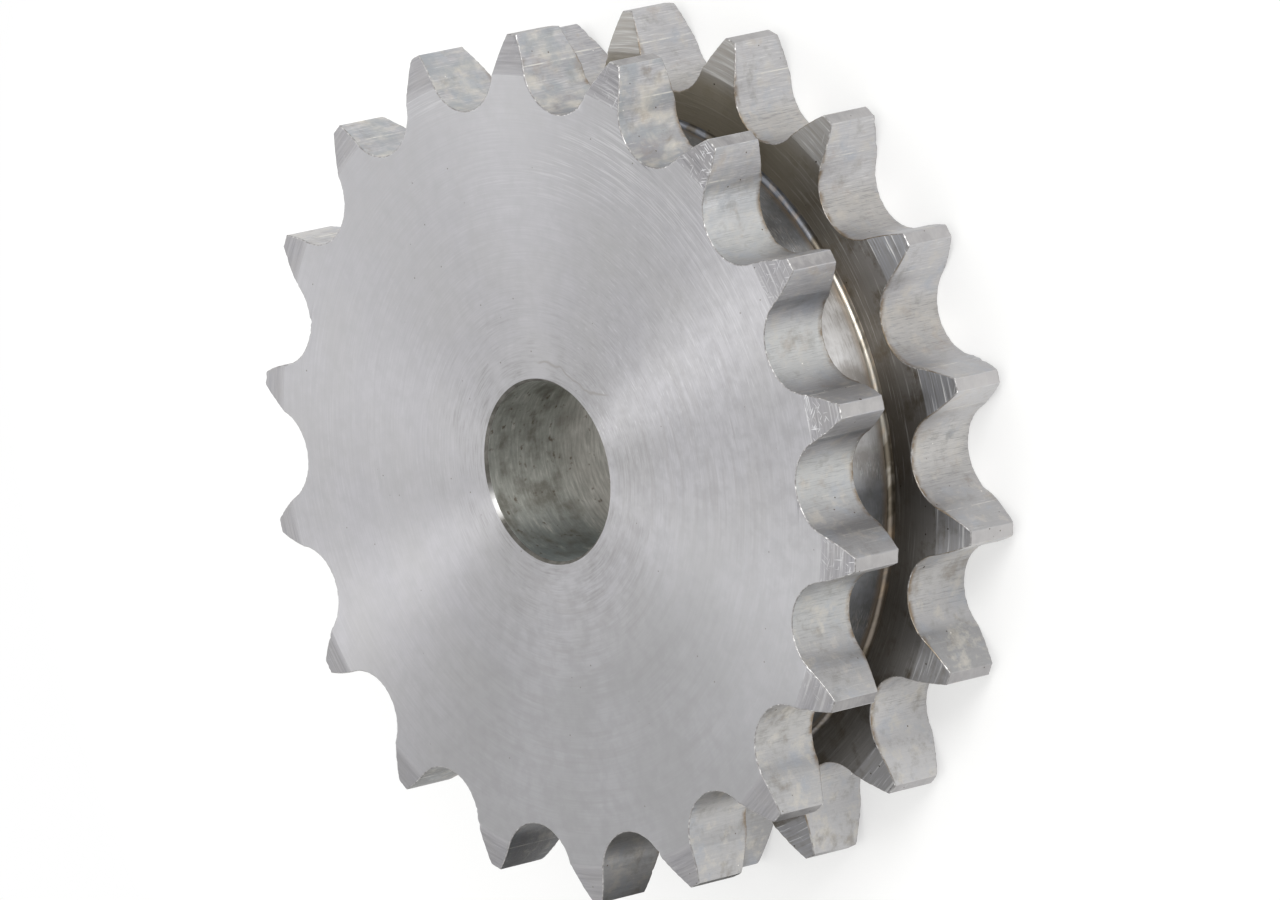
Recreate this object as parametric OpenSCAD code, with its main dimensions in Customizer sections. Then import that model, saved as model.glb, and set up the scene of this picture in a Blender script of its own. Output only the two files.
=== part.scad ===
/* [Chain] */
// Chain pitch, from one roller to the next
pitch = 9.525; // [9.3:0.005:9.8]
// Diameter of the chain's rollers
roller_d = 6.35; // [6.1:0.01:6.5]
// Height of the chain's side plates
plate_h = 8.26; // [7.8:0.02:9]
// Distance between the middles of two neighbouring strands
row_pitch = 10.24; // [9:0.02:12]

/* [Teeth] */
// Number of teeth in each row
teeth = 18; // [15:1:30]
// Number of rows, one for each strand of the chain
rows = 2; // [1:1:3]
// Width of one row of teeth
tooth_w = 5.1; // [4.2:0.1:6.2]
// Height of the tooth tips above the pitch circle
tip_rise = 1.5; // [1.2:0.05:1.9]
// Radial clearance between a roller and its seat
seat_gap = 0.035; // [0:0.005:0.09]
// Angle of the roller seat's arc
seat_angle = 125; // [122:1:132]
// Radius of the bulging flank above the seat
flank_r = 15.2; // [12:0.2:20]
// Angle of the faint ridge where the flank meets the seat
ridge_angle = 4; // [2:0.5:8]
// Depth of the side chamfers, inwards from the tips
side_depth = 2.6; // [1.6:0.1:3.4]
// Slope of the side chamfers from the faces
side_angle = 14; // [8:1:20]

/* [Body] */
// Diameter of the pilot bore
bore_d = 12; // [8:0.5:24]
// Broken edge at both ends of the bore
bore_edge = 0.2; // [0.1:0.05:1]
// Radial clearance between the core and the chain's plates
plate_gap = 0.8; // [0.4:0.05:1.2]
// Radius of the two fillets at the bottom of the groove
groove_fillet = 0.4; // [0.2:0.05:0.8]

/* [Hidden] */
$fn = 128;

steel = [0.70, 0.70, 0.71];
// How far a cutter runs past the metal that it cuts
overrun = 1;

tooth_step = 360 / teeth;
pitch_r = pitch / (2 * sin(tooth_step / 2));
tip_r = pitch_r + tip_rise;

// A link's plates lie on a chord of the pitch circle, and the core stays just inside them
link_r = pitch / (2 * tan(tooth_step / 2));
core_r = link_r - plate_h / 2 - plate_gap;
bore_r = bore_d / 2;

total_w = (rows - 1) * row_pitch + tooth_w;
side_rise = side_depth * tan(side_angle);

// The flank arc crosses the seat arc at the ridge angle, which sets the distance of their centres
seat_r = roller_d / 2 + seat_gap;
flank_reach = sqrt(seat_r * seat_r + flank_r * flank_r
    + 2 * seat_r * flank_r * cos(ridge_angle));
flank_x = pitch_r - flank_reach * cos(seat_angle / 2);
flank_y = flank_reach * sin(seat_angle / 2);
// Length of the cutter's sides, from the seat's centre into the tooth
flank_entry = seat_r + overrun;

// Section of one row of teeth: a disc with a chamfer towards the tips on both sides
module row_section() {
    polygon([
        [bore_r, 0],
        [tip_r - side_depth, 0],
        [tip_r, side_rise],
        [tip_r, tooth_w - side_rise],
        [tip_r - side_depth, tooth_w],
        [bore_r, tooth_w]
    ]);
}

// Section of the fillet between the core and the side of a row, with the corner at the origin
module fillet_section() {
    difference() {
        square(groove_fillet);
        translate([groove_fillet, groove_fillet]) circle(groove_fillet);
    }
}

// Section of the core in one groove, with its two fillets
module groove_section() {
    translate([bore_r, tooth_w]) square([core_r - bore_r, row_pitch - tooth_w]);
    translate([core_r, tooth_w]) fillet_section();
    translate([core_r, row_pitch]) mirror([0, 1]) fillet_section();
}

// The blank as it leaves the lathe, before the teeth are cut
module blank() {
    rotate_extrude() {
        for (row = [0:rows - 1]) translate([0, row * row_pitch]) row_section();
        for (row = [0:1:rows - 2]) translate([0, row * row_pitch]) groove_section();
    }
}

// Conical tool that breaks the bore's edge at the bottom face
module edge_cutter() {
    translate([0, 0, -overrun])
        cylinder(h = bore_edge + overrun, r1 = bore_r + bore_edge + overrun, r2 = bore_r);
}

// Cutter for one gap between teeth, lying along +X: the roller seat, and the room between
// the two flanks, whose arcs bulge out of the neighbouring teeth
module gap_cutter() {
    inner = [pitch_r - flank_entry * cos(seat_angle / 2), flank_entry * sin(seat_angle / 2)];
    outer = (tip_r + overrun) * [cos(tooth_step / 2), sin(tooth_step / 2)];
    translate([0, 0, -overrun]) linear_extrude(total_w + 2 * overrun) {
        translate([pitch_r, 0]) circle(seat_r);
        difference() {
            polygon([
                [pitch_r, 0],
                [inner.x, -inner.y],
                [outer.x, -outer.y],
                [outer.x, outer.y],
                [inner.x, inner.y]
            ]);
            for (side = [-1, 1]) translate([flank_x, side * flank_y]) circle(flank_r);
        }
    }
}

module sprocket() {
    color(steel) difference() {
        blank();
        edge_cutter();
        translate([0, 0, total_w]) mirror([0, 0, 1]) edge_cutter();
        for (gap = [0:teeth - 1]) rotate([0, 0, (gap + 0.5) * tooth_step]) gap_cutter();
    }
}

sprocket();
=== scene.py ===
# %% [markdown]
# A sprocket for a double-strand roller chain: one piece of steel, first turned on a lathe to a disc
# with a deep groove round its middle, then cut into teeth by a hob. The lesson shows how a machined
# part is made to look machined: true rounded edges, turned marks that run in circles, hobbed marks
# that run straight across the teeth, and dulled steel where no tool has been lately.
#
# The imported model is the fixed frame. Everything below stands in its place and at its size.

# %% Load the frame
import math

import bpy
import numpy as np
from mathutils import Matrix, Vector


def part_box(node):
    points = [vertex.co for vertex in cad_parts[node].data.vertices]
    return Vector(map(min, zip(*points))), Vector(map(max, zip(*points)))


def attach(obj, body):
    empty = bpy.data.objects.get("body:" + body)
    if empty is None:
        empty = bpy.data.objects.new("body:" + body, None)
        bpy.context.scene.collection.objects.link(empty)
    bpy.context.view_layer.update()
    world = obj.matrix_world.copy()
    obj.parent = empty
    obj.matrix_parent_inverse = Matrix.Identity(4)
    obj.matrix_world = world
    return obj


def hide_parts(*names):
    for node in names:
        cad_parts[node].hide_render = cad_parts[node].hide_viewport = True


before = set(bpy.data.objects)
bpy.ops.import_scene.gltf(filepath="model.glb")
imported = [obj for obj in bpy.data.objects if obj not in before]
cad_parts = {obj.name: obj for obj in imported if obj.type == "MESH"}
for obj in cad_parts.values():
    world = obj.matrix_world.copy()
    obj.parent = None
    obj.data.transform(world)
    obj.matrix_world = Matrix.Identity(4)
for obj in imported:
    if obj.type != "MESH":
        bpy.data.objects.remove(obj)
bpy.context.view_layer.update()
low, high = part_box("sprocket")
print("frame box in mm:", [round(1000 * v, 2) for v in (*low, *high)])

# %% [markdown]
# The sizes come from the frame where it holds them, and else from the chain that the teeth fit: a
# pitch of 9.525 mm with 6.35 mm rollers. All work is done in millimetres, and only the finished mesh
# is turned into metres, so that every number below can be read like a workshop drawing.

# %% Sizes of the part, in millimetres
MM = 0.001
teeth = 18
tip_r = high.x / MM
total_w = high.z / MM
bore_r = 6.0
bore_edge = 0.2
pitch = 9.525
row_w = 5.1
# The core stays 0.8 mm inside the edges of the chain's plates
core_r = 22.079
fillet_r = 0.4
side_depth = 2.6
side_slope = math.tan(math.radians(14))
# The seat is a roller's radius, 3.175 mm, with 0.035 mm of play, over an arc of 125 degrees
seat_r = 3.21
seat_half = math.radians(125 / 2)
# The flank's arc crosses the seat's at this small angle
ridge = math.radians(4)
flank_r = 15.2

half_step = math.pi / teeth
pitch_r = pitch / 2 / math.sin(half_step)
crease_r = tip_r - side_depth
row_floor = (0.0, total_w - row_w)
groove_half = total_w / 2 - row_w
print(f"pitch radius {pitch_r:.3f}, tip radius {tip_r:.3f}, width {total_w:.2f} mm")

# %% [markdown]
# On the real part no edge is knife sharp: the burr is brushed off, which leaves an edge about as
# round as a sheet of paper is thick. That tiny round catches the light, so it is modelled.
#
# Each tooth is drawn as levels that climb from the bottom of the gap to the land at its top. One side
# of a tooth is three arcs: the hollow seat of the roller, the flank that bulges slightly, and a small
# round at the corner of the land. The other side is its mirror image, and a level joins the two by an
# arc round the middle of the part, so that chamfers and turned marks come out truly round.

# %% The side of a tooth, as levels from the gap's bottom to the land
edge_r = 0.065
corner_r = 0.10
seat_levels = 22
flank_levels = 15
corner_levels = 3
# Narrow rows beside a ridge or crease keep its shading from spreading over the large faces
crease_band = 0.05

flank_reach = math.sqrt(seat_r**2 + flank_r**2 + 2 * seat_r * flank_r * math.cos(ridge))
flank_centre = np.array([pitch_r - flank_reach * math.cos(seat_half), flank_reach * math.sin(seat_half)])


def crossing_angle(side, near, far):
    """Angle at a corner of a triangle, from the two sides that meet there and the side across it."""
    return np.arccos((side**2 + near**2 - far**2) / (2 * side * near))


def tooth_side():
    """Points and outward normals of one side of a tooth, with the gap's middle along +X.

    The seat is a circle about the roller's middle, from straight down (towards the bore) up to the
    ridge. The flank is a circle about a point inside the tooth: the angle of each of its levels
    follows from the triangle of the part's middle, that point and the level's radius. The corner is
    a circle that touches the flank from inside and the tip circle from inside.
    """
    seat_end = seat_half + crossing_angle(flank_reach, seat_r, flank_r)
    below_ridge = seat_end - crease_band / seat_r
    seat_turn = np.append(np.linspace(0, below_ridge, seat_levels), seat_end)
    seat_normal = np.stack([np.cos(seat_turn), -np.sin(seat_turn)], 1)
    seat = np.array([pitch_r, 0]) - seat_r * seat_normal

    centre_r = np.hypot(*flank_centre)
    centre_turn = np.arctan2(flank_centre[1], flank_centre[0])
    corner_reach = crossing_angle(centre_r, tip_r - corner_r, flank_r - corner_r)
    corner_turn = centre_turn - corner_reach
    corner_centre = (tip_r - corner_r) * np.array([math.cos(corner_turn), math.sin(corner_turn)])
    corner_start = math.atan2(*(corner_centre - flank_centre)[::-1])

    # Radii are those of the cap's rim, which lies one edge radius inside the flank
    rim_r = flank_r - edge_r
    top = np.hypot(*(flank_centre + rim_r * np.array([math.cos(corner_start), math.sin(corner_start)])))
    level_r = np.append([crease_r, crease_r + crease_band],
                        np.linspace(crease_r + 4 * crease_band, top, flank_levels)[:-1])
    flank_turn = centre_turn - (math.pi - crossing_angle(centre_r, rim_r, level_r))
    flank_normal = np.stack([np.cos(flank_turn), np.sin(flank_turn)], 1)
    flank = flank_centre + flank_r * flank_normal

    turn = np.linspace(corner_start, corner_turn, corner_levels + 1)
    corner_normal = np.stack([np.cos(turn), np.sin(turn)], 1)
    corner = corner_centre + corner_r * corner_normal

    to_ridge = seat[-1] - flank_centre
    seat_normal[-1] += to_ridge / np.hypot(*to_ridge)
    seat_normal[-1] /= np.hypot(*seat_normal[-1])
    return (np.concatenate([seat, flank, corner]),
            np.concatenate([seat_normal, flank_normal, corner_normal]))


side_points, side_normals = tooth_side()
levels = len(side_points)
climb = np.append(0, np.cumsum(np.hypot(*np.diff(side_points, axis=0).T)))
ridge_climb = climb[seat_levels]
# On the real teeth the line between seat and flank shows a little above the ridge
shoulder_climb = ridge_climb + 0.66
print(f"{levels} levels, {climb[-1]:.2f} mm from the gap's bottom to the land")

# %% [markdown]
# A patch is a grid of points, given by radius, angle and height as whole arrays. Every patch works
# out its rim by the same formula as its neighbour, so the rims can be welded at the end into one
# closed skin.

# %% Patches and their finishes
# A finish's number is its material slot
FACE, CHAMFER, GAP, LAND, GROOVE, FILLET, CORE, BORE, BORE_EDGE, EDGE = range(10)
patches = []


def patch(radius, angle, height, finish, outward=1, rise=0.0, wear=0.0):
    """Keeps a grid of points, radius * (cos angle, sin angle) and height, with the last two axes as
    rows and columns. outward is -1 where rows and columns would turn the faces inwards. rise is how
    far up the tooth's side a point lies, and wear is 1 in the middle of a rounded edge."""
    radius, angle, height, rise, wear = np.broadcast_arrays(radius, angle, height, rise, wear)
    points = np.stack([radius * np.cos(angle), radius * np.sin(angle), height], -1)
    rows, cols = points.shape[-3:-1]
    points = points.reshape(-1, rows, cols, 3)
    index = np.arange(points[..., 0].size).reshape(-1, rows, cols)
    quads = np.stack([index[:, :-1, :-1], index[:, :-1, 1:], index[:, 1:, 1:], index[:, 1:, :-1]], -1)
    quads = quads.reshape(-1, 4)[:, ::outward]
    patches.append((points.reshape(-1, 3), quads, finish, rise.ravel(), wear.ravel()))


def moved_in(inset):
    """Radius and angle from the tooth's middle of each level, once moved into the metal by inset."""
    moved = side_points - np.asarray(inset)[..., None, None] * side_normals
    x, y = np.moveaxis(moved, -1, 0)
    return np.hypot(x, y), half_step - np.arctan2(y, x)


def chamfer_drop(radius):
    """How far the cone of the side chamfer lies below the flat face at this radius."""
    return np.maximum(radius - crease_r, 0) * side_slope


middles = (2 * half_step * np.arange(teeth))[:, None, None]
columns_across = 10
support = 0.13


def spread(radius, half_angle):
    """Angles across a tooth at one level: both ends, one column close to each, the rest even."""
    inner = half_angle - np.minimum(support / radius, half_angle / 4)
    even = np.linspace(-1, 1, columns_across - 1)
    return np.concatenate([-half_angle[:, None], inner[:, None] * even, half_angle[:, None]], 1)


rim_radius, rim_half = moved_in(edge_r)
columns = spread(rim_radius, rim_half)
ring = (middles + columns[0, :-1]).ravel()
ring = np.append(ring, ring[0] + 2 * math.pi)
land_angle = columns[-1]
print(f"{len(ring) - 1} columns round the part")

# %% Teeth of both rows
round_steps = 3
quarter = np.linspace(0, math.pi / 2, round_steps + 1)
round_inset = edge_r * (1 - np.cos(quarter))
round_drop = edge_r * (1 - np.sin(quarter))
edge_wear = np.sin(quarter * 2)[:, None]
body_rows = 5


def wall_heights(floor, radius):
    """Heights of the rows up a wall: both ends, one row close to each, the rest even."""
    bottom = floor + chamfer_drop(radius) + edge_r
    top = floor + row_w - chamfer_drop(radius) - edge_r
    even = np.linspace(0, 1, body_rows)[:, None]
    inner = bottom + support + even * (top - bottom - 2 * support)
    return np.concatenate([[bottom + 0 * radius], inner, [top + 0 * radius]])


def teeth_of_row(floor):
    """Walls of the gaps, lands, rounded edges and both flat caps of one row of teeth.

    A cap's height is the face less the cone of the chamfer. An edge is a quarter circle: at the
    angle t it has moved in by r(1 - cos t), and lies r(1 - sin t) below the cap at that radius.
    """
    cap_drop = chamfer_drop(rim_radius)[:, None]
    split = int((rim_radius < crease_r + 1e-6).sum())
    lower_row = floor == row_floor[0]
    for first, last, outer in ((0, split, FACE), (split - 1, levels, CHAMFER)):
        part = slice(first, last)
        place = (rim_radius[part, None], middles + columns[part])
        patch(*place, floor + row_w - cap_drop[part], GROOVE if lower_row else outer, outward=-1)
        patch(*place, floor + cap_drop[part], outer if lower_row else GROOVE)

    wall_r, wall_half = moved_in(0.0)
    for hand in (-1, 1):
        patch(wall_r, middles + hand * wall_half, wall_heights(floor, wall_r), GAP, -hand, rise=climb)
    patch(tip_r, middles + land_angle, wall_heights(floor, np.array([tip_r])), LAND, rise=climb[-1])

    edge_radius, edge_half = moved_in(round_inset)
    height = chamfer_drop(edge_radius) + round_drop[:, None]
    tip_edge = tip_r - round_inset[:, None]
    tip_height = chamfer_drop(tip_edge) + round_drop[:, None]
    for z, face in ((floor + row_w, 1), (floor, -1)):
        for hand in (-1, 1):
            patch(edge_radius, middles + hand * edge_half, z - face * height, EDGE, -hand * face,
                  rise=climb, wear=edge_wear)
        patch(tip_edge, middles + land_angle, z - face * tip_height, EDGE, face,
              rise=climb[-1], wear=edge_wear)


for floor in row_floor:
    teeth_of_row(floor)
print(len(patches), "patches so far")

# %% [markdown]
# Inside the root circle everything is round: the two outer faces down to the bore, and between the
# rows the walls of the groove with their small fillets and the core. They are all one profile that
# is carried round the part on the teeth's own columns.

# %% Faces, groove, core and bore
root_r = rim_radius[0]


def turned(profile, finish):
    """A profile of (radius, height) points carried all the way round, outside on its right-hand side."""
    radius, height = np.array(profile, float).T[..., None]
    patch(radius, ring, height, finish, outward=-1)


band = 0.04
edge_top = bore_r + bore_edge
face_rows = np.r_[np.linspace(23.4, 8, 8), 6.6]
face_radii = np.r_[root_r, root_r - support, face_rows, edge_top + band, edge_top]
turned([(r, total_w) for r in face_radii[::-1]], FACE)
turned([(r, 0) for r in face_radii], FACE)

groove_end = core_r + fillet_r
groove_radii = np.r_[root_r, root_r - support,
                     np.linspace(root_r - 2 * support, groove_end + band, 3), groove_end]
turned([(r, row_w) for r in groove_radii[::-1]], GROOVE)
turned([(r, total_w - row_w) for r in groove_radii], GROOVE)

rise_z = row_w + fillet_r
drop_z = total_w - row_w - fillet_r
low_fillet = [(core_r + fillet_r * (1 - math.sin(a)), rise_z - fillet_r * math.cos(a))
              for a in np.linspace(0, math.pi / 2, 7)]
turned(low_fillet[::-1], FILLET)
turned([(r, total_w - z) for r, z in low_fillet], FILLET)
core_heights = np.r_[drop_z, np.linspace(drop_z - band, rise_z + band, 6), rise_z]
turned([(core_r, z) for z in core_heights], CORE)

bore_end = total_w - bore_edge
bore_heights = np.r_[bore_edge, np.linspace(bore_edge + band, bore_end - band, 9), bore_end]
turned([(bore_r, z) for z in bore_heights], BORE)
turned([(edge_top, 0), (bore_r + band, bore_edge - band), (bore_r, bore_edge)], BORE_EDGE)
turned([(bore_r, bore_end), (bore_r + band, bore_end + band), (edge_top, total_w)], BORE_EDGE)
print(len(patches), "patches in all")

# %% [markdown]
# The patches meet exactly along their rims, so points that coincide become one, and the skin closes. Each
# point's normal is the mean of its faces' normals, weighted by their areas: the large flat faces win
# there, so that they shade flat up to their edge, and the narrow rounds between them shade round.

# %% Weld the patches into one skin
def weld():
    """Joins points that coincide to a hundred-thousandth of a millimetre, and drops empty faces."""
    start = np.cumsum([0] + [len(p[0]) for p in patches])
    points = np.concatenate([p[0] for p in patches])
    quads = np.concatenate([p[1] + s for p, s in zip(patches, start)])
    finish = np.concatenate([np.full(len(p[1]), p[2]) for p in patches])
    rise = np.concatenate([p[3] for p in patches])
    wear = np.concatenate([p[4] for p in patches])
    _, first, same = np.unique(np.round(points * 1e5).astype(np.int64), axis=0,
                               return_index=True, return_inverse=True)
    return points[first], same.ravel()[quads], finish, rise[first], wear[first]


points, quads, finish, rise, wear = weld()
print(f"{len(points)} points, {len(quads)} quads, {2 * len(quads)} triangles")


def face_vectors(points):
    """Each quad's normal times twice its area: the cross product of its two diagonals."""
    a, b, c, d = points[quads].transpose(1, 0, 2)
    return np.cross(c - a, d - b)


def point_normals(points):
    """Mean of the normals round each point, where a large face counts more than a small one."""
    vectors = face_vectors(points)
    corners = quads.ravel()
    total = np.stack([np.bincount(corners, np.repeat(v, 4), len(points)) for v in vectors.T], 1)
    return total / np.linalg.norm(total, axis=1)[:, None]


# %% [markdown]
# Steel teeth that have been cut, tumbled in a box and handled have small nicks along their edges. Each
# nick is a soft dent: points near its middle move inwards by the depth times a bell curve of their
# distance. About one in four is a low burr instead, which moves outwards. They are drawn from a seeded
# generator, so the part comes out the same each time. The brush also left the rounded edges a little
# uneven, by some thousandths of a millimetre: four sine waves that run in different directions.

# %% Nicks along the edges
rng = np.random.default_rng(18)
nick_count = 260
dent_or_burr = [1, 1, 1, -0.35]
bell_end = 2.5
on_edge = np.flatnonzero(wear > 0.8)
normals = point_normals(points)
nick_at = rng.choice(on_edge, nick_count, replace=False)
nick_size = rng.uniform(0.07, 0.2, nick_count)
nick_depth = nick_size * rng.uniform(0.12, 0.5, nick_count) * rng.choice(dent_or_burr, nick_count)
for at, size, depth in zip(nick_at, nick_size, nick_depth):
    away = np.linalg.norm(points - points[at], axis=1) / size
    near = away < bell_end
    points[near] -= normals[at] * (depth * np.exp(-away[near, None] ** 2))

wave_height = 0.007
waver = wave_height * (np.sin(points @ [9.1, 5.3, 7.7]) + np.sin(points @ [-6.7, 11.9, 3.1])
                       + np.sin(points @ [17.3, -14.9, 12.1]) + np.sin(points @ [-13.7, -19.1, 16.3]))
points -= normals * (waver * wear)[:, None]

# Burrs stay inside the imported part's box: within its tip circle and between its two faces
over = np.maximum(np.hypot(points[:, 0], points[:, 1]) / tip_r, 1)
points[:, :2] /= over[:, None]
points[:, 2] = np.clip(points[:, 2], 0, total_w)
volume = (points[quads[:, 0]] * face_vectors(points)).sum() / 6
print(f"{nick_count} nicks, volume {volume / 1000:.2f} cm3")

# %% [markdown]
# The skin becomes a mesh at the part's own place. It rides on the frame's root, because nothing on this
# part moves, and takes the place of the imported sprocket. One number goes with every point: how far up
# the tooth's side it lies.

# %% Put the skin into a mesh
mesh = bpy.data.meshes.new("machined_sprocket")
mesh.vertices.add(len(points))
mesh.vertices.foreach_set("co", (points * MM).ravel())
mesh.loops.add(quads.size)
mesh.loops.foreach_set("vertex_index", quads.ravel())
mesh.polygons.add(len(quads))
mesh.polygons.foreach_set("loop_start", np.arange(0, quads.size, 4))
mesh.polygons.foreach_set("material_index", finish)
mesh.update(calc_edges=True)
mesh.attributes.new("climb", "FLOAT", "POINT").data.foreach_set("value", rise)
mesh.polygons.foreach_set("use_smooth", np.ones(len(quads), bool))
print("mesh valid:", not mesh.validate())
mesh.normals_split_custom_set_from_vertices(point_normals(points))
sprocket = bpy.data.objects.new("machined_sprocket", mesh)
bpy.context.scene.collection.objects.link(sprocket)
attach(sprocket, "root")
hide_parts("sprocket")

# %% [markdown]
# The finishes come next. Every surface of the part is the same steel, a plain carbon steel called C45,
# but each was left by another tool, and that is what tells them apart: the direction and spacing of
# the tool marks, how smooth they are, and what oil, coolant and handling did to them since.
#
# Colours are written as they look on the screen and turned into linear light once. A single helper
# adds any node with its settings and links.

# %% Colours and nodes
def linear(code):
    """Linear red, green, blue and alpha of an sRGB hex colour."""
    value = np.array([int(code[k : k + 2], 16) for k in (1, 3, 5)]) / 255
    light = np.where(value <= 0.04045, value / 12.92, ((value + 0.055) / 1.055) ** 2.4)
    return (*light, 1.0)


def add(tree, kind, settings=None, inputs=None, out=0):
    """Adds a node to a tree, sets its settings and its inputs, which are values or other nodes'
    outputs, and returns one of its outputs. Any output in a tree may stand for the tree."""
    tree = tree.id_data
    node = tree.nodes.new("ShaderNode" + kind)
    for name, value in (settings or {}).items():
        setattr(node, name, value)
    for name, value in (inputs or {}).items():
        if isinstance(value, bpy.types.NodeSocket):
            tree.links.new(value, node.inputs[name])
        else:
            node.inputs[name].default_value = value
    return node.outputs[out]


print("steel grey in linear light:", [round(float(v), 3) for v in linear("#ABAAAD")[:3]])

# %% [markdown]
# A finish is painted in layers, like glazes: a ground colour, then colours laid over it where masks
# allow. A mask is a product of parts, and a part is any value, such as a noise, a radius or a height,
# mapped from the range where it matters to a share of cover. That one idea gives wear near an edge,
# dirt in a corner and streaks on one side of the part alike.

# %% Masks and layers
def mask(*parts):
    """Product of parts. Each is a node's output from 0 to 1, or a tuple: an output, the two values
    between which its share goes from low to high, and low and high where they aren't 0 and 1."""
    product = None
    for part in parts:
        if isinstance(part, tuple):
            value, start, end, low_share, high_share = (*part, 0.0, 1.0)[:5]
            part = add(value, "MapRange", inputs={"Value": value, "From Min": start, "From Max": end,
                                                  "To Min": low_share, "To Max": high_share})
        if product is None:
            product = part
        else:
            product = add(part, "Math", {"operation": "MULTIPLY"}, {0: product, 1: part})
    return product


def paint(colour, *layers):
    """Lays colours one after another over a ground. A layer is a tuple of its colour and the parts
    of its mask, and each colour is a hex code or a node's output."""
    for over, *parts in layers:
        under, over = (linear(c) if isinstance(c, str) else c for c in (colour, over))
        share = mask(*parts)
        colour = add(share, "Mix", {"data_type": "RGBA"}, {0: share, 6: under, 7: over}, out=2)
    return colour


# %% [markdown]
# All patterns read Object coordinates, so they sit in the steel like its grain. Lathe marks run round
# the axis: their noise is read at the radius, the height and the direction round the axis, each divided
# by how wide or long a streak is that way. Nothing jumps where the angle starts again, because the
# direction is used as a vector and never as an angle.

# %% Places and patterns
def place_on_part(tree):
    """Position, radius and height in millimetres, and the outward direction round the axis."""
    spot = add(tree, "TexCoord", out="Object")
    flat = add(tree, "VectorMath", {"operation": "MULTIPLY"}, {0: spot, 1: (1, 1, 0)})
    radius = add(tree, "VectorMath", {"operation": "LENGTH"}, {0: flat}, out=1)
    radius = add(tree, "Math", {"operation": "DIVIDE"}, {0: radius, 1: MM})
    out = add(tree, "VectorMath", {"operation": "NORMALIZE"}, {0: flat})
    lift = add(tree, "VectorMath", {"operation": "DOT_PRODUCT"}, {0: spot, 1: (0, 0, 1 / MM)}, out=1)
    return spot, radius, lift, out


def streaks(out, first, first_size, second, second_size, arc, detail=3.0, roughness=0.6):
    """Noise over two lengths in millimetres, each divided by the size of a streak that way, and over
    the direction round the axis, divided by arc: a streak's length as a share of its radius."""
    x = add(out, "Math", {"operation": "DIVIDE"}, {0: first, 1: first_size})
    y = add(out, "Math", {"operation": "DIVIDE"}, {0: second, 1: second_size})
    around = add(out, "VectorMath", {"operation": "SCALE"}, {0: out, "Scale": 1 / arc})
    shift = add(out, "CombineXYZ", inputs={"X": y, "Z": x})
    where = add(out, "VectorMath", {"operation": "ADD"}, {0: around, 1: shift})
    return add(out, "TexNoise", inputs={"Vector": where, "Scale": 1.0, "Detail": detail,
                                         "Roughness": roughness})


def blotches(spot, size, detail=4.0, roughness=0.55):
    """Noise whose patches are about size millimetres wide."""
    return add(spot, "TexNoise", inputs={"Vector": spot, "Scale": 1 / (size * MM), "Detail": detail,
                                         "Roughness": roughness})


def pits(spot, spacing, size, share):
    """Small round spots: cells of a Voronoi pattern with a spacing in millimetres, and a spot of the
    given radius at the middle of some of them, as many as the share says."""
    cells = add(spot, "TexVoronoi", inputs={"Vector": spot, "Scale": 1 / (spacing * MM)})
    chance = add(spot, "TexWhiteNoise", inputs={"Vector": cells.node.outputs["Position"]})
    return mask((cells, size / spacing, 0.6 * size / spacing), (chance, share, share * 0.9))


def scratches(spot, turn, length, width, share):
    """Thin straight lines, all one way: the highest peaks of a noise that is stretched along them.
    turn is in degrees from +X, sizes in millimetres, and a larger share gives more lines."""
    turned_spot = add(spot, "VectorRotate", {"rotation_type": "Z_AXIS"},
                      {"Vector": spot, "Angle": math.radians(-turn)})
    drawn = add(spot, "VectorMath", {"operation": "MULTIPLY"},
                {0: turned_spot, 1: (1 / (length * MM), 1 / (width * MM), 1 / (length * MM))})
    noise = add(spot, "TexNoise", inputs={"Vector": drawn, "Scale": 1.0, "Detail": 0.0})
    return mask((noise, 0.85 - share, 0.9 - share))


def facing(out, degrees, *span):
    """Mask of the side of the part towards an angle from +X: the cosine of the angle between the
    two, over a span as in a mask's tuple."""
    side = (math.cos(math.radians(degrees)), math.sin(math.radians(degrees)), 0)
    cosine = add(out, "VectorMath", {"operation": "DOT_PRODUCT"}, {0: out, 1: side}, out=1)
    return mask((cosine, *span))


def from_middle(lift):
    """Distance in millimetres from the plane halfway between the two rows."""
    offset = add(lift, "Math", {"operation": "SUBTRACT"}, {0: lift, 1: total_w / 2})
    return add(lift, "Math", {"operation": "ABSOLUTE"}, {0: offset})


# %% [markdown]
# All finishes are one metal, so a new material is always fully metallic with the default index of
# refraction. Tool marks do two things to it. They stretch every highlight across themselves, which is
# anisotropy, with a tangent that points across the marks, and they are a relief of a few thousandths
# of a millimetre.

# %% A new steel finish
def steel(name, roughness, anisotropic=0.0):
    """A new metal material, with its roughness and anisotropy on the shader's own sockets. Returns
    the material and what place_on_part gives."""
    material = bpy.data.materials.new(name)
    material.use_nodes = True
    tree = material.node_tree
    shader = tree.nodes["Principled BSDF"]
    shader.inputs["Metallic"].default_value = 1.0
    shader.inputs["Roughness"].default_value = roughness
    shader.inputs["Anisotropic"].default_value = anisotropic
    return material, *place_on_part(tree)


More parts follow.
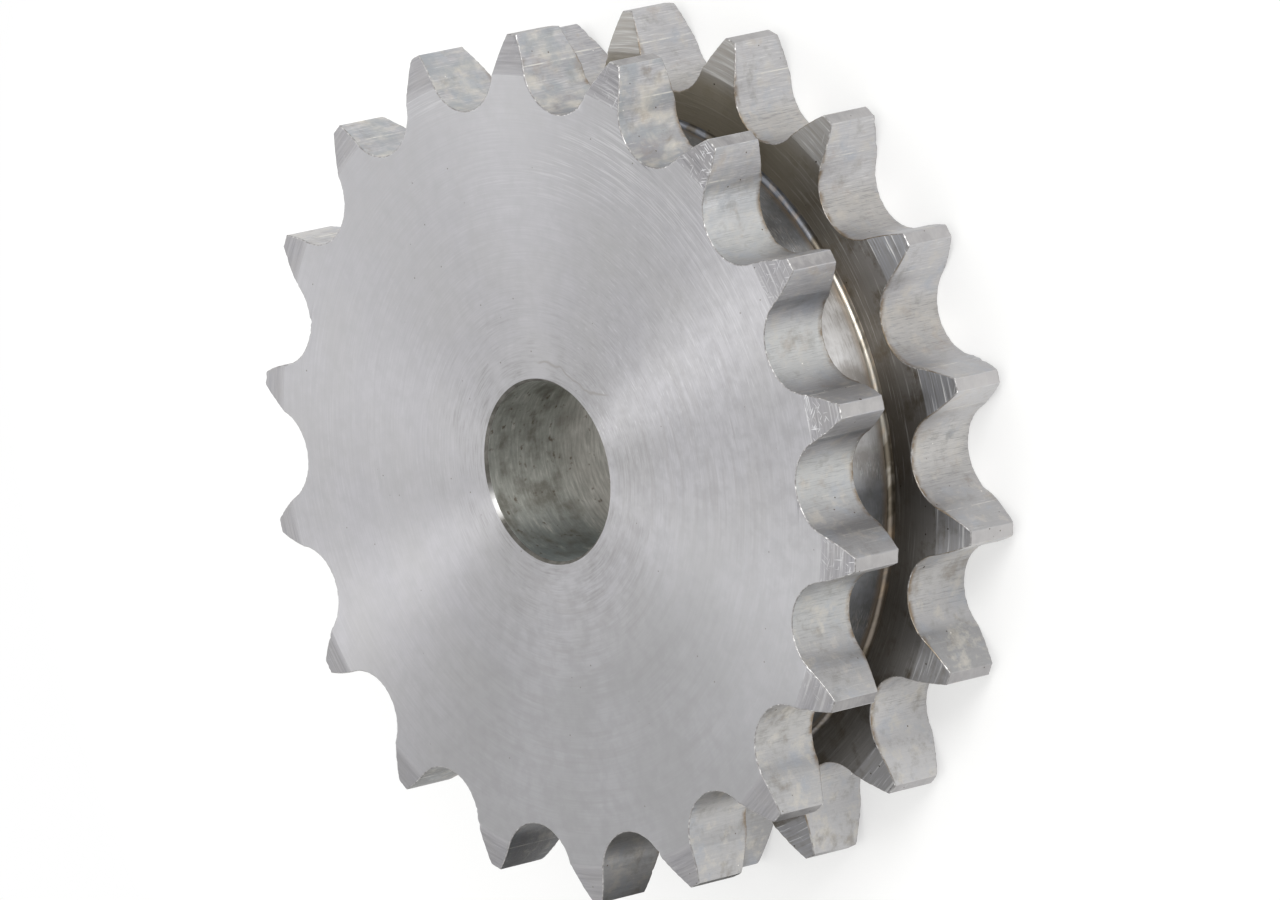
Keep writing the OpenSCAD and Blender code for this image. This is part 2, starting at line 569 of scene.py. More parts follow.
def put_on(material, colour, tangent, relief, depth):
    """Links a colour, the direction across the tool marks and a relief with a depth in millimetres,
    and gives the mesh its next material slot, in the order of the finishes listed with the patches.
    The relief is one pattern, or a tuple: a coarse pattern, its weight and a fine pattern."""
    tree = material.node_tree
    shader = tree.nodes["Principled BSDF"]
    tree.links.new(colour, shader.inputs["Base Color"])
    if tangent is not None:
        tree.links.new(tangent, shader.inputs["Tangent"])
    if isinstance(relief, tuple):
        coarse, weight, fine = relief
        relief = add(tree, "Math", {"operation": "MULTIPLY_ADD"}, {0: coarse, 1: weight, 2: fine})
    bump = add(tree, "Bump", inputs={"Height": relief, "Distance": depth * MM})
    tree.links.new(bump, shader.inputs["Normal"])
    mesh.materials.append(material)
    print(f"slot {len(mesh.materials) - 1}: {material.name}, {len(tree.nodes)} nodes")


# %% [markdown]
# The big flat faces are fine-turned. The cutter moved outwards by a few hundredths of a millimetre each
# turn, which is too fine to show here, so the rings are drawn at a tenth. They keep light narrow along
# the ring and spread it along the radius: that is why a lathe-turned disc shows bright wedges instead
# of a round highlight. On one side the tool had picked up a chip and tore short dashes, which show
# where a lamp's wedge falls: their bright and dark colours are painted glints and painted shade. One
# fine scratch passes the bore.

# %% One fine scratch
def hair_line(spot, start, end, sag, width):
    """A fine scratch between two points of the face, given in millimetres, that bends to one side and
    then to the other like a sine wave of height sag, and wavers a little with a noise."""
    along = np.subtract(end, start)
    length = float(np.hypot(*along))
    along = along / length / MM
    moved = add(spot, "VectorMath", {"operation": "SUBTRACT"},
                {0: spot, 1: (start[0] * MM, start[1] * MM, 0)})
    way = add(spot, "VectorMath", {"operation": "DOT_PRODUCT"}, {0: moved, 1: (*along, 0)}, out=1)
    side = add(spot, "VectorMath", {"operation": "DOT_PRODUCT"},
               {0: moved, 1: (-along[1], along[0], 0)}, out=1)
    phase = add(spot, "Math", {"operation": "MULTIPLY"}, {0: way, 1: 2 * math.pi / length})
    bend = add(spot, "Math", {"operation": "SINE"}, {0: phase})
    offset = add(spot, "Math", {"operation": "MULTIPLY_ADD"}, {0: bend, 1: -sag, 2: side})
    noise = blotches(spot, 1.0, 1.0)
    sway = 0.5
    offset = add(spot, "Math", {"operation": "MULTIPLY_ADD"}, {0: noise, 1: sway, 2: offset})
    offset = add(spot, "Math", {"operation": "SUBTRACT"}, {0: offset, 1: sway / 2})
    gap = add(spot, "Math", {"operation": "ABSOLUTE"}, {0: offset})
    return mask((way, 0.0, 0.5), (way, length, length - 0.5), (gap, width, width / 4))


# %% Faces
def turned_face():
    """Fine-turned C45 steel: silky light grey rings that flash in wedges, with a cloudy skin where it
    was handled and duller beside the bore, with painted light towards 0 degrees and painted shade
    towards 180 degrees."""
    material, spot, radius, lift, out = steel("fine_turned_c45_steel", 0.47, 0.92)
    fine = streaks(out, radius, 0.10, lift, 1.0, 0.2)
    dash = streaks(out, radius, 0.10, lift, 1.0, 0.06, 2.0)
    wide = streaks(out, radius, 1.1, lift, 1.0, 0.6, 2.0)
    wiped = streaks(out, radius, 0.5, lift, 1.0, 0.35, 2.0)
    cloud = blotches(spot, 7.0)
    small = blotches(spot, 1.1, 4.0, 0.6)
    handled = facing(out, -150, -0.2, 0.5)
    painted_shade_side = facing(out, 180, 0.35, 1.0, 0, 0.6)
    beside_bore = mask((radius, 13.0, 6.2), (blotches(spot, 2.5), 0.4, 0.65))
    rubbed = mask((radius, 17.5, 22.5), (blotches(spot, 9.0, 1.0), 0.47, 0.6),
                  facing(out, -15, 0.3, 0.8))
    glint_dash_side = facing(out, -72, 0.75, 0.97)
    colour = paint(
        "#ACABAE",
        ("#B8B7BA", (fine, 0.3, 0.7)),
        ("#A6A5A7", (small, 0.4, 0.7, 0, 0.6)),
        ("#ADACAF", (wide, 0.3, 0.7, 0, 0.4)),
        ("#ABAAA8", (cloud, 0.4, 0.75, 0, 0.4)),
        # Handling left a mottle and faint wide rings on the half towards -150 degrees
        ("#9F9EA0", handled, (small, 0.45, 0.62, 0, 0.3)),
        ("#9D9B9B", handled, (wiped, 0.5, 0.62, 0, 0.32), (radius, 24.0, 19.0, 0.3, 1.0)),
        # Painted light brightens the side towards 0 degrees; a small stretch towards -140 degrees
        # near the bore is lighter too
        ("#C0C0C2", facing(out, 0, 0.3, 0.95), (radius, 12.0, 24.0, 0, 0.3)),
        ("#BEBEC0", facing(out, -140, 0.9, 0.99), (radius, 8.0, 14.0, 0, 0.35)),
        # Painted shade darkens the side towards 180 degrees, mottled; oil dulls the ring beside the bore
        ("#9A9A9B", painted_shade_side, (radius, 9.0, 15.0), (cloud, 0.3, 0.55, 0.5, 1.0)),
        ("#8C8B89", beside_bore, (fine, 0.55, 0.3, 0.15, 0.8)),
        ("#D6D6D7", rubbed, (fine, 0.52, 0.64, 0, 0.45)),
        # Torn dashes where a lamp's wedge falls: painted shade where dark, painted glints where bright
        ("#8F8E90", glint_dash_side, (dash, 0.42, 0.30, 0, 0.28)),
        ("#D6D6D8", glint_dash_side, (dash, 0.60, 0.74, 0, 0.36)),
        ("#A09E9C", hair_line(spot, (6.9, -2.4), (2.6, -8.4), 0.35, 0.10)),
        ("#86847F", pits(spot, 0.9, 0.07, 0.2)),
    )
    torn_depth = mask((glint_dash_side, 0, 1, 0.4, 2.2))
    put_on(material, colour, out, (dash, torn_depth, fine), 0.0035)


turned_face()

# %% [markdown]
# The slopes beside the tips were turned with a coarser feed and a blunter tool than the faces, so they
# are duller. On the side that met other parts in the box they took short scratches at several angles,
# and there their bright marks are painted glints. Towards 112 degrees painted shade darkens them.

# %% Side chamfers of the teeth
def turned_chamfer():
    """Coarse-turned C45 steel: a matt grey cone with visible feed marks, 0.16 mm apart, with knocks and
    painted glints on one side, darker with painted shade on another, and soft where it starts from
    the face."""
    material, spot, radius, lift, out = steel("coarse_turned_c45_steel", 0.56, 0.6)
    feed = streaks(out, radius, 0.16, lift, 0.16, 0.12)
    cloud = blotches(spot, 1.4)
    knocked_and_glint = mask((blotches(spot, 5.0, 1.0), 0.4, 0.6, 0.3, 1.0),
                   facing(out, -84, 0.5, 0.9, 0.05, 1.0))
    marks = [scratches(spot, turn, 0.8, 0.09, 0.12) for turn in (20, -45, 75)]
    colour = paint(
        "#8E8D90",
        ("#A6A5A7", (feed, 0.3, 0.7)),
        ("#9B9998", (cloud, 0.38, 0.7, 0, 0.5)),
        # Painted shade darkens the slopes towards 112 degrees
        ("#7B7A7C", facing(out, 112, 0.7, 0.95, 0, 0.35)),
        ("#ABAAAC", (radius, crease_r + 0.6, crease_r, 0, 0.7)),
        # On the knocked side the bright feed marks and scratches are painted glints over real marks
        ("#E0E0E1", knocked_and_glint, (feed, 0.56, 0.66, 0, 0.85)),
        ("#77767A", knocked_and_glint, (feed, 0.42, 0.3, 0, 0.7)),
        *(("#E4E4E6", lines, knocked_and_glint) for lines in marks),
        ("#6A665F", pits(spot, 0.7, 0.06, 0.25)),
    )
    put_on(material, colour, out, (cloud, 2.0, feed), 0.012)


turned_chamfer()

# %% [markdown]
# Each gap was cut by a hob, a worm with teeth, which leaves straight marks across the tooth from one
# side to the other. The mesh keeps, at each point, how far up the tooth's side it lies: that "climb"
# lets the material tell the roller's seat from the flank, and paint a dark band of shade and a fine
# bright line of painted highlight where the one turns into the other. Since then each gap had a life
# of its own, so much of it depends on the side of the part and on the row: stains, touched places and
# a dull grey. On top of these lie painted light on flanks of the rear row and painted shade on the
# walls that face 128 to 145 degrees.

# %% Light and dark of the tooth gaps
def gap_tone(spot, lift, out, climb, line):
    """The broad tones of the gaps: seat and flank, the band of painted shade between them, and what
    differs from one side of the part to another, with painted light and shade among it. line is the
    noise of the hob's marks."""
    coarse = streaks(out, climb, 0.7, lift, 6.0, 0.3)
    large = blotches(spot, 7.0, 2.0)
    seat = mask((climb, ridge_climb - 0.9, ridge_climb - 2.2))
    front_row = mask((lift, total_w / 2 - 0.1, total_w / 2 + 0.1))
    rear_row = mask((front_row, 1, 0))
    front_seat = mask(front_row, seat)
    # band is painted shade between seat and flank, strongest towards -97 degrees and on the front row
    band = mask((climb, ridge_climb - 0.7, ridge_climb + 0.1),
                (climb, shoulder_climb + 0.05, shoulder_climb - 0.12),
                facing(out, -97, 0.9, 0.99, 0.25, 1.0), (front_row, 0, 1, 0.25, 1.0))

    # lean tells a gap's two sides apart: the hob cuts one upwards and the other downwards
    normal = add(out, "NewGeometry", out="Normal")
    clockwise = add(out, "VectorMath", {"operation": "CROSS_PRODUCT"}, {0: out, 1: (0, 0, 1)})
    lean = add(out, "VectorMath", {"operation": "DOT_PRODUCT"}, {0: normal, 1: clockwise}, out=1)
    marked_side = mask(rear_row, facing(out, -134, 0.97, 0.99), (lean, 0.0, -0.4))
    touched = mask(front_row, facing(out, -67, 0.98, 0.99), (lean, 0.1, 0.3),
                   (climb, 1.8, 2.6), (climb, 4.0, 3.6))

    smear = streaks(out, climb, 1.1, lift, 2.4, 0.05, 3.0, 0.5)
    film = streaks(out, climb, 1.7, lift, 1.9, 0.07, 4.0, 0.55)
    stained = mask(front_row, facing(out, -15, 0.5, 0.8))
    return paint(
        "#9C9BA0",
        ("#C2C1C2", (line, 0.3, 0.7)),
        ("#BBB8B4", seat, (line, 0.3, 0.62, 0.45, 0.85)),
        ("#AEADAC", facing(out, -165, 0.5, 0.85, 0, 0.6)),
        ("#D4D3D4", facing(out, -155, 0.82, 0.95), (lift, 6.0, 5.2, 0, 0.45)),
        ("#74767C", band, (coarse, 0.35, 0.6, 0.2, 0.9)),
        # Painted light on the rear row's flanks towards -60 and -110 degrees, and the cooler seats of the
        # front row
        ("#DEDDDC", rear_row, facing(out, -60, 0.5, 0.9, 0, 0.28), (climb, 1.2, 2.4)),
        ("#DEDDDC", rear_row, facing(out, -110, 0.93, 0.98, 0, 0.35)),
        ("#C0C5C7", front_seat, facing(out, -95, 0.6, 0.9, 0, 0.4)),
        ("#838282", seat, (line, 0.48, 0.32, 0, 0.6)),
        # Painted shade on the walls that face 145 and 128 degrees
        ("#77777A", facing(out, 145, 0.95, 0.99, 0, 0.6)),
        ("#5C5C58", facing(out, 128, 0.97, 0.995, 0, 0.8)),
        # The two sides of a gap, and single places that were touched, bared or dulled
        ("#88878A", facing(out, -90, 0.6, 0.85), (lean, 0.1, -0.6, 0, 0.42)),
        ("#8E8E8F", marked_side, (climb, 2.8, 3.8, 0, 0.6)),
        ("#E6E8EA", touched, (line, 0.3, 0.6, 0.35, 0.8)),
        ("#E4E5E6", front_seat, facing(out, -65, 0.9, 0.98), (lean, 0.1, 0.6, 0, 0.45)),
        ("#939296", seat, front_row, facing(out, -40, 0.85, 0.98), (large, 0.3, 0.55, 0.5, 1.0)),
        # A light veil on the front row, and the stains of its gaps towards -15 degrees
        ("#EAEAEA", (front_row, 0, 1, 0, 0.10)),
        ("#D7D2C8", stained, (smear, 0.47, 0.66, 0, 0.75)),
        ("#9DA2A7", stained, (film, 0.46, 0.62, 0, 0.65)),
        ("#8D857B", stained, (film, 0.42, 0.30, 0, 0.6)),
    )


# %% Gaps between the teeth
def hobbed_gap():
    """Hobbed C45 steel: bright lines across the tooth, 0.085 mm apart, a mottled grey seat, rust-brown
    specks of dried coolant, and a tan rim beside the groove."""
    material, spot, _, lift, out = steel("hobbed_c45_steel", 0.42, 0.45)
    climb = add(spot, "Attribute", {"attribute_name": "climb"}, out=2)
    line = streaks(out, climb, 0.085, lift, 1.6, 0.5, 3.0, 0.7)
    cloud = blotches(spot, 1.5, 6.0, 0.68)
    elsewhere = add(spot, "VectorMath", inputs={0: spot, 1: (0.3, 0.1, 0.2)})
    second_cloud = blotches(elsewhere, 2.2, 6.0, 0.68)
    mottled = facing(out, -165, 0.5, 0.9)
    crisp = facing(out, -165, 0.85, 0.5, 0.15, 0.6)
    # A painted highlight: the fine bright line where the seat turns into the flank
    shoulder_highlight = mask((climb, shoulder_climb - 0.05, shoulder_climb - 0.01),
                         (climb, shoulder_climb + 0.08, shoulder_climb + 0.02), (crisp, 0.1, 0.5))
    rim = mask((from_middle(lift), groove_half + 0.45, groove_half + 0.1))
    colour = paint(
        gap_tone(spot, lift, out, climb, line),
        ("#CDC7BD", (cloud, 0.53, 0.68, 0, 0.5)),
        ("#AAB0BA", (second_cloud, 0.54, 0.68, 0, 0.5)),
        ("#8B8883", (cloud, 0.45, 0.30, 0, 0.45)),
        ("#A38F7C", (second_cloud, 0.42, 0.30, 0, 0.3)),
        ("#CDC9C1", mottled, (cloud, 0.52, 0.64, 0, 0.42)),
        ("#8C8983", mottled, (second_cloud, 0.46, 0.34, 0, 0.5)),
        ("#E2E1E0", crisp, (line, 0.62, 0.74)),
        ("#DCDAD4", shoulder_highlight, (blotches(spot, 2.5, 5.0, 0.7), 0.44, 0.58)),
        ("#85725A", rim, (blotches(spot, 0.7), 0.4, 0.6, 0.15, 0.9)),
        ("#E9E7E2", pits(spot, 0.9, 0.06, 0.25)),
        ("#6A6157", pits(spot, 0.8, 0.07, 0.25)),
        ("#4B3D30", pits(spot, 2.6, 0.12, 0.3)),
        ("#5A544C", mottled, pits(spot, 1.3, 0.09, 0.35)),
    )
    normal = add(spot, "NewGeometry", out="Normal")
    across_marks = add(spot, "VectorMath", {"operation": "CROSS_PRODUCT"}, {0: normal, 1: (0, 0, 1)})
    put_on(material, colour, across_marks, (cloud, 4.0, line), 0.010)


hobbed_gap()

# %% [markdown]
# The lands on top of the teeth are what is left of the turned outside of the blank. Hands and chain
# rubbed them smooth, so little more than soft patches of two greys is left, lighter on the rear row.

# %% Lands on top of the teeth
def turned_land():
    """Turned and rubbed C45 steel: faint marks round the part and soft grey patches."""
    material, spot, radius, lift, out = steel("rubbed_c45_steel", 0.45, 0.5)
    line = streaks(out, lift, 0.16, radius, 1.0, 0.05)
    cloud = blotches(spot, 1.3, 5.0, 0.65)
    colour = paint(
        "#9B999A",
        ("#A8A6A5", (line, 0.25, 0.75)),
        ("#8D8B8C", (cloud, 0.46, 0.6, 0, 0.7)),
        ("#BCBBBC", (cloud, 0.4, 0.3, 0, 0.6)),
        ("#C6C4C5", (lift, total_w / 2, 0, 0, 0.45)),
        ("#D6D4D3", facing(out, -110, 0.95, 0.99, 0, 0.4)),
        ("#5F5850", pits(spot, 0.6, 0.07, 0.3)),
    )
    along_axis = add(spot, "CombineXYZ", inputs={"Z": 1.0})
    put_on(material, colour, along_axis, (cloud, 2.0, line), 0.006)


turned_land()

# %% [markdown]
# The two sides that face each other across the groove were turned with a long thin tool that
# chattered. On the chamfers towards the tips it tore rings 0.2 mm apart, which catch the light and
# are painted bright as highlights. Further in the skin is smooth and dark brown, because coolant dried
# there and nothing ever rubs it off, and painted shade of the deep groove darkens it there too.

# %% Sides of the groove
def groove_side():
    """Chatter-turned C45 steel: torn rings near the tips, painted bright as highlights, and a dark oily
    brown further in, which also holds painted shade.
    """
    material, spot, radius, lift, out = steel("chatter_turned_c45_steel", 0.5, 0.7)
    ring_line = streaks(out, radius, 0.2, lift, 1.0, 0.2, 3.0, 0.65)
    fine = streaks(out, radius, 0.12, lift, 1.0, 0.25)
    cloud = blotches(spot, 1.8, 5.0, 0.65)
    top_side = facing(out, -30, 0.7, 0.95)
    rest = mask((top_side, 0, 1, 1.0, 0.3))
    dim = facing(out, -145, 0.75, 0.95, 1.0, 0.35)
    chamfer = mask((radius, crease_r - 0.1, crease_r + 0.1), (ring_line, 0.3, 0.6, 0.2, 1.0),
                   (dim, 0.3, 1.0, 0.5, 1.0))
    chamfer_grey = paint("#97989C", ("#AEACA8", top_side))
    torn = mask((radius, crease_r - 0.25, crease_r + 0.1, 0.25, 1.0), (ring_line, 0.58, 0.66, 0, 0.9))
    marks = [mask(scratches(spot, turn, 1.6, 0.10, 0.05),
                  (radius, crease_r - 0.2, crease_r + 0.3, 0.0, 0.8)) for turn in (25, -35)]
    colour = paint(
        "#65615B",
        ("#736F69", (fine, 0.3, 0.7)),
        # Lighter towards the tips: painted shade keeps the inner part dark, together with dried coolant
        ("#8E8C8A", (radius, 23.6, 25.9, 0, 0.75)),
        ("#5B5347", (cloud, 0.5, 0.68, 0, 0.8)),
        ("#98907F", (top_side, 0, 1, 0, 0.7)),
        ("#3A332B", facing(out, -108, 0.985, 0.998, 0, 0.6)),
        (chamfer_grey, chamfer),
        ("#827D77", chamfer, top_side, (ring_line, 0.5, 0.38, 0, 0.5)),
        ("#A09E9C", top_side, (radius, crease_r - 0.9, crease_r, 0, 0.5)),
        # Painted highlights on the torn rings and scratches, weaker towards -145 degrees
        ("#E3E2E0", torn, rest, dim),
        *(("#DADADA", lines, rest, dim) for lines in marks),
        ("#40382F", pits(spot, 0.8, 0.08, 0.3)),
    )
    put_on(material, colour, out, (ring_line, 2.5, cloud), 0.009)


groove_side()

# %% [markdown]
# At the bottom of the groove the tool's round nose burnished two small fillets: a ring on each side of
# the core, broken by brown stretches where swarf and coolant lay. The core between them shows short
# turned marks. Both are painted silver towards one side of the part, as a highlight, and duller
# elsewhere; on the core that darker grey is partly old coolant and partly painted shade.

# %% Fillets of the groove
def groove_fillet():
    """Burnished C45 steel: a thin ring, painted bright as a highlight towards -100 degrees, bluish where
    it is dull, brown where it is dirty.
    """
    material, _, radius, lift, out = steel("burnished_c45_steel", 0.36, 0.3)
    stretch = streaks(out, radius, 3.0, lift, 3.0, 0.12)
    fine = streaks(out, radius, 0.1, lift, 0.1, 0.05, 2.0)
    highlight_silver = paint("#8B857B", ("#B4B0A7", (fine, 0.3, 0.7)))
    colour = paint(
        "#6B6E74",
        ("#8E9096", (fine, 0.3, 0.7)),
        # Painted highlight: the ring is bright silver only towards -100 degrees
        (highlight_silver, facing(out, -100, 0.85, 0.95)),
        ("#82776A", facing(out, -140, 0.86, 0.95, 0, 0.85)),
        ("#6A6255", (stretch, 0.48, 0.56, 0, 0.9)),
        ("#C2A888", (stretch, 0.40, 0.30, 0, 0.5)),
    )
    put_on(material, colour, out, fine, 0.004)


groove_fillet()

# %% Core of the groove
def groove_core():
    """Turned C45 steel: short marks on silver, a painted highlight towards -92 degrees, darker grey
    elsewhere, partly old coolant and partly painted shade, with a brown line of dirt where it meets
    the fillets."""
    material, spot, radius, lift, out = steel("core_turned_c45_steel", 0.42, 0.6)
    line = streaks(out, lift, 0.10, radius, 1.0, 0.035)
    cloud = blotches(spot, 2.6, 5.0, 0.6)
    silver = paint("#DDDCDC", ("#ABA7A4", (cloud, 0.35, 0.62)))
    crisp = mask((blotches(spot, 3.0, 1.0), 0.45, 0.6, 0.2, 1.0))
    core_half = groove_half - fillet_r
    colour = paint(
        "#8A8C90",
        ("#6C6C6C", (cloud, 0.35, 0.62)),
        # Painted highlight: silver only towards -92 degrees; the darker grey elsewhere is partly painted
        # shade
        (silver, facing(out, -92, 0.92, 0.985)),
        ("#A8A39E", crisp, (line, 0.5, 0.38, 0, 0.6)),
        ("#F6F6F5", crisp, (line, 0.58, 0.68, 0, 0.35)),
        ("#9A8263", (from_middle(lift), core_half - 0.5, core_half, 0, 0.5)),
    )
    along_axis = add(spot, "CombineXYZ", inputs={"Z": 1.0})
    put_on(material, colour, along_axis, line, 0.008)


groove_core()

# %% [markdown]
# The pilot bore is drilled and bored once and left so, because the buyer bores it out to the shaft. It
# keeps a film of old oil: greenish grey near the mouth and bluish on one side. Deep inside it is
# painted light and warm, a painted reflection of the white paper that shines up into it.

# %% Bore
def pilot_bore():
    """Bored C45 steel under old oil: short streaks round the bore, 0.22 mm apart, and dark spots."""
    material, spot, radius, lift, out = steel("bored_c45_steel", 0.5, 0.5)
    line = streaks(out, lift, 0.22, radius, 1.0, 0.2)
    cloud = blotches(spot, 1.8, 5.0, 0.62)
    deep = paint("#AEACA6", ("#D6D3CD", (line, 0.3, 0.65)))
    colour = paint(
        "#A2A39D",
        ("#C2C3BD", (line, 0.3, 0.7)),
        ("#8A9396", facing(out, 180, 0.1, 0.75, 0, 0.7)),
        ("#7A776E", (cloud, 0.46, 0.66, 0, 0.75)),
        # Painted light: lighter and warmer deep inside, where the white paper shines up into the bore
        (deep, (lift, 9.8, 6.8, 0, 0.8)),
        ("#E2DFD6", facing(out, -90, 0.3, 0.9), (lift, 11.0, 8.5, 0, 0.3)),
        ("#D8D6D0", (cloud, 0.48, 0.36), (line, 0.5, 0.66, 0, 0.6)),
        ("#66584A", (blotches(spot, 0.55, 2.0), 0.64, 0.74, 0, 0.75)),
    )
    along_axis = add(spot, "CombineXYZ", inputs={"Z": 1.0})
    put_on(material, colour, along_axis, (cloud, 2.0, line), 0.010)


pilot_bore()

# %% [markdown]
# Edges come last. The mouth of the bore has a small dark turned chamfer, dark partly by its tone and
# partly by painted shade, with one bright stretch that is a painted highlight. All other edges were
# touched by a rotary brush, which left bright metal and the dark foot of the burr taking turns every
# few tenths of a millimetre, and carry painted glints, more of them towards -90 degrees.

# %% Edges
def bore_edge_steel():
    """Turned C45 steel: a thin dark ring, partly painted shade, with one painted highlight."""
    material, spot, _, _, out = steel("edge_turned_c45_steel", 0.42, 0.92)
    short = blotches(spot, 0.8, 3.0)
    colour = paint(
        "#55534E",
        ("#73716C", (short, 0.35, 0.65)),
        # Painted highlight: one bright stretch towards 92 degrees
        ("#DEDEDE", facing(out, 92, 0.975, 0.999, 0, 0.55)),
    )
    put_on(material, colour, out, short, 0.004)


def broken_edge():
    """Brushed C45 steel: a broken line with painted glints, more towards -90 degrees, and dirt towards
    the groove.
    """
    material, spot, _, lift, out = steel("brushed_c45_steel", 0.42)
    short = blotches(spot, 0.3, 3.0)
    long = blotches(spot, 2.5, 3.0)
    painted_glint_side = facing(out, -90, 0.0, 0.7, 0.2, 0.9)
    towards_groove = mask((from_middle(lift), groove_half + 0.6, groove_half + 0.3))
    colour = paint(
        "#8B8988",
        ("#AEADAC", (short, 0.4, 0.6)),
        # Painted glints, more of them towards -90 degrees
        ("#EFEEEB", painted_glint_side, (short, 0.60, 0.68)),
        ("#75664F", towards_groove, (long, 0.42, 0.58, 0.1, 0.8)),
    )
    put_on(material, colour, None, short, 0.04)


bore_edge_steel()
broken_edge()

# %% [markdown]
# The camera stands where the photographer stood: in front of the part, above it and turned, so that the
# disc looks upright though it lies flat. It is a metre away behind a long lens, which keeps the far row
# almost as large as the near one. Its angles, aim and lens were fitted to the outline in the photograph.

# %% Camera
heading = math.radians(80.7687)
down = math.radians(40.6834)
roll = math.radians(102.7033)
aim = Vector((-0.156, -0.298, 7.299)) * MM
distance = 0.98038

forward = Vector((math.cos(heading) * math.cos(down), math.sin(heading) * math.cos(down), -math.sin(down)))
level_right = forward.cross(Vector((0, 0, 1))).normalized()
level_up = level_right.cross(forward)
up = level_up * math.cos(roll) + level_right * math.sin(roll)
right = forward.cross(up)
view_turn = Matrix((right, up, -forward)).transposed().to_quaternion()

camera_data = bpy.data.cameras.new("camera")
camera_data.sensor_width = 36
camera_data.lens = 418.148
camera_data.shift_x = -0.000935
camera_data.shift_y = 0.001716
camera_data.clip_start = 0.05
camera_data.clip_end = 5
camera = bpy.data.objects.new("camera", camera_data)
camera.matrix_world = Matrix.LocRotScale(aim - forward * distance, view_turn, None)
bpy.context.scene.collection.objects.link(camera)
bpy.context.scene.camera = camera
print("camera at", [round(v, 4) for v in camera.matrix_world.translation])

# %% [markdown]
# The part lies on white paper. In the picture the paper is pure white, yet it has to keep the part's
# shadow. So close to the part it is a mix of matt paper and a glow of strength 1, and further out it is
# all glow. Only the camera and rays that metal mirrors or glass lets through see the glow. Light that
# bounces about sees paper everywhere, so the part isn't lit twice. The paper lies a hair below the part,
# because two skins in one place flicker.

# %% Paper under the part
def stage_sheet(name, corners, colour):
    """A flat matt sheet with the given corners, for the stage, and its material's tree and shader."""
    sheet_mesh = bpy.data.meshes.new(name)
    sheet_mesh.from_pydata(corners, [], [range(len(corners))])
    sheet = bpy.data.objects.new(name, sheet_mesh)
    bpy.context.scene.collection.objects.link(sheet)
    material = bpy.data.materials.new(name)
    material.use_nodes = True
    shader = material.node_tree.nodes["Principled BSDF"]
    shader.inputs["Base Color"].default_value = linear(colour)
    shader.inputs["Roughness"].default_value = 0.9
    sheet_mesh.materials.append(material)
    return sheet, material.node_tree, shader


floor_reach = 1.2
floor_z = -0.02 * MM
floor_sides = 96
glow_from = 30
glow_full = 75
nearby_glow = 0.45
floor_turn = 2 * math.pi * np.arange(floor_sides) / floor_sides
rim = [(floor_reach * math.cos(a), floor_reach * math.sin(a), floor_z) for a in floor_turn]
paper, tree, shader = stage_sheet("white_paper", rim, "#F4F4F2")
shader.inputs["Specular IOR Level"].default_value = 0.0

_, radius, _, _ = place_on_part(tree)
rays = add(tree, "LightPath").node.outputs
seen = add(tree, "Math", {"operation": "ADD"}, {0: rays["Is Camera Ray"], 1: rays["Is Glossy Ray"]})
seen = add(tree, "Math", {"operation": "ADD"}, {0: seen, 1: rays["Is Transmission Ray"]})
glow = add(tree, "Emission", inputs={"Color": (1, 1, 1, 1), "Strength": 1.0})
glow_share = mask(seen, (radius, glow_from, glow_full, nearby_glow, 1.0))
blend = add(tree, "MixShader", inputs={0: glow_share, 1: shader.outputs[0], 2: glow})
tree.links.new(blend, tree.nodes["Material Output"].inputs["Surface"])
print(f"{paper.name} reaches {floor_reach} m, and glows fully from {glow_full} mm")

# %% [markdown]
# Bright metal in a white room has nothing to mirror but white, and its shape gets lost. A photographer
# lays a black card beside the picture, so that the walls which face it show dark. This one lies on the
# paper at the lower left of the part, seen from the camera. Only mirrored rays see it, so it darkens
# no paper and throws no shadow.

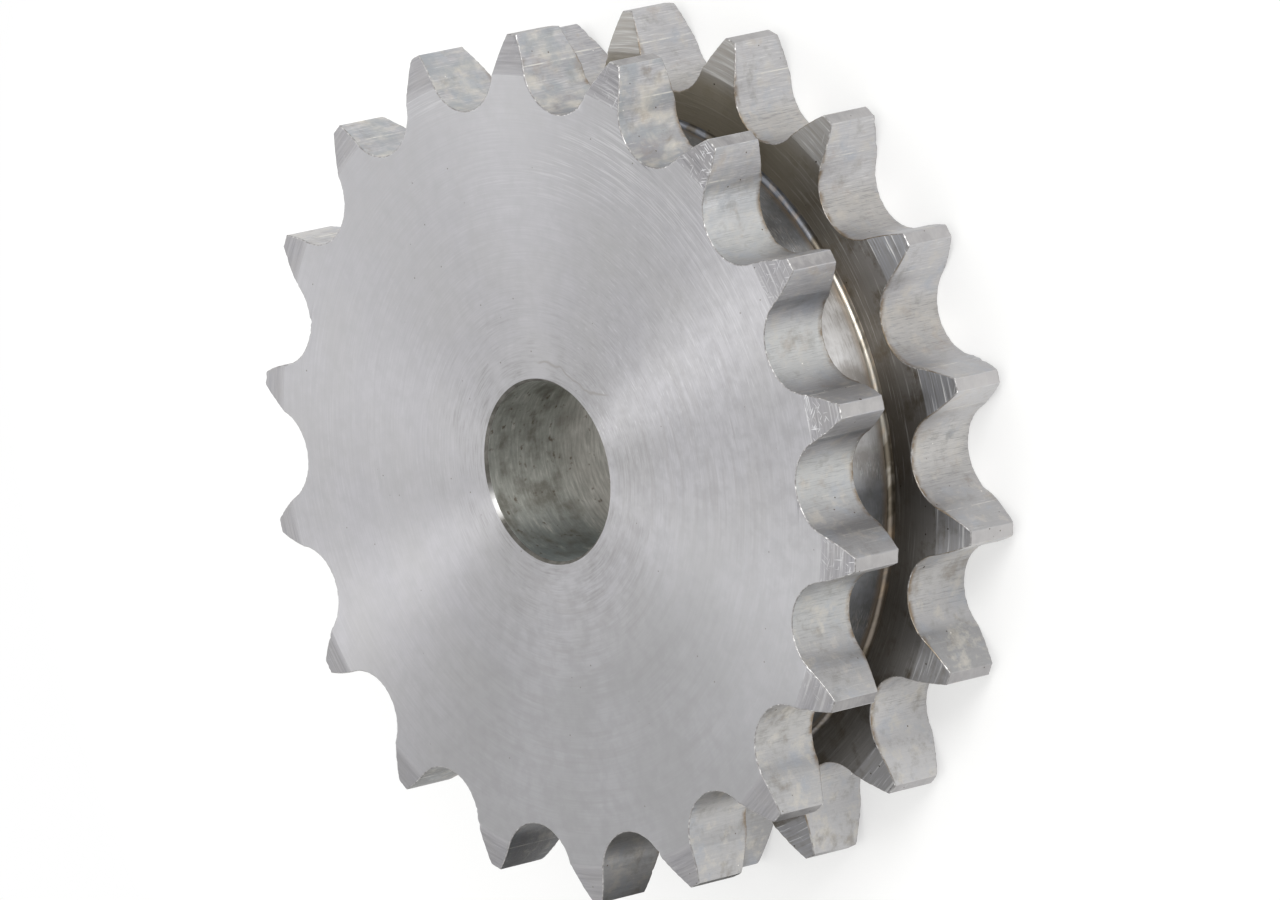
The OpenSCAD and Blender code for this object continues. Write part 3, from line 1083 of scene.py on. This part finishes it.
# %% Dark card
card_x = (-0.120, -0.032)
card_y = (0.0, 0.075)
card_z = 0.3 * MM
corners = [(card_x[0], card_y[0], card_z), (card_x[1], card_y[0], card_z),
           (card_x[1], card_y[1], card_z), (card_x[0], card_y[1], card_z)]
card, _, _ = stage_sheet("black_card", corners, "#1E1E1B")
card.visible_camera = False
card.visible_shadow = False
card.visible_diffuse = False
print("card of", round(1000 * (card_x[1] - card_x[0])), "by", round(1000 * card_y[1]), "mm")

# %% [markdown]
# The room is a plain white world, which alone gives soft light from all sides. Five lamps draw the
# picture. A large soft one in front gives the shadow and the main light. Four small ones stand a hand's
# width away: three of them each put a bright wedge on the turned rings, and the last one, behind the
# part, lights the edges at the top.

# %% White room and lamps
def lamp_direction(wedge_degrees, reach):
    """Direction to a lamp whose bright wedge on rings about +Z lies at the given angle.

    A ring shines where the lamp's and the viewer's directions add up to a vector with nothing along
    the ring, so their sum, seen from above, points along the wedge. reach is that sum's length."""
    wedge = math.radians(wedge_degrees)
    viewer = -forward
    x = reach * math.cos(wedge) - viewer.x
    y = reach * math.sin(wedge) - viewer.y
    return Vector((x, y, math.sqrt(1 - x * x - y * y)))


def lamp(name, direction, size, energy, away):
    """A round area lamp, away metres from the part, that looks at it from the given direction."""
    data = bpy.data.lights.new(name, "AREA")
    data.shape = "DISK"
    data.size = size
    data.energy = energy
    piece = bpy.data.objects.new(name, data)
    piece.visible_camera = False
    piece.location = direction * away
    piece.rotation_euler = (-direction).to_track_quat("-Z", "Y").to_euler()
    bpy.context.scene.collection.objects.link(piece)
    print(f"{name}: {1000 * size:.0f} mm wide, {energy} W")


world = bpy.data.worlds.new("white_room")
world.use_nodes = True
world.node_tree.nodes["Background"].inputs["Color"].default_value = (1, 1, 1, 1)
bpy.context.scene.world = world
bpy.context.scene.view_settings.view_transform = "Standard"

lamp("front", Vector((0.3, -0.8, 0.5)).normalized(), size=0.2, energy=0.90, away=0.4)
lamp("near_right", lamp_direction(-122, 0.75), size=0.06, energy=0.0121, away=0.12)
lamp("near_left", lamp_direction(58, 0.15), size=0.08, energy=0.0187, away=0.16)
lamp("near_top", lamp_direction(-30, 0.75), size=0.06, energy=0.0060, away=0.12)
lamp("behind_top", Vector((0.6, 0.6, 0.5)).normalized(), size=0.06, energy=0.0050, away=0.10)
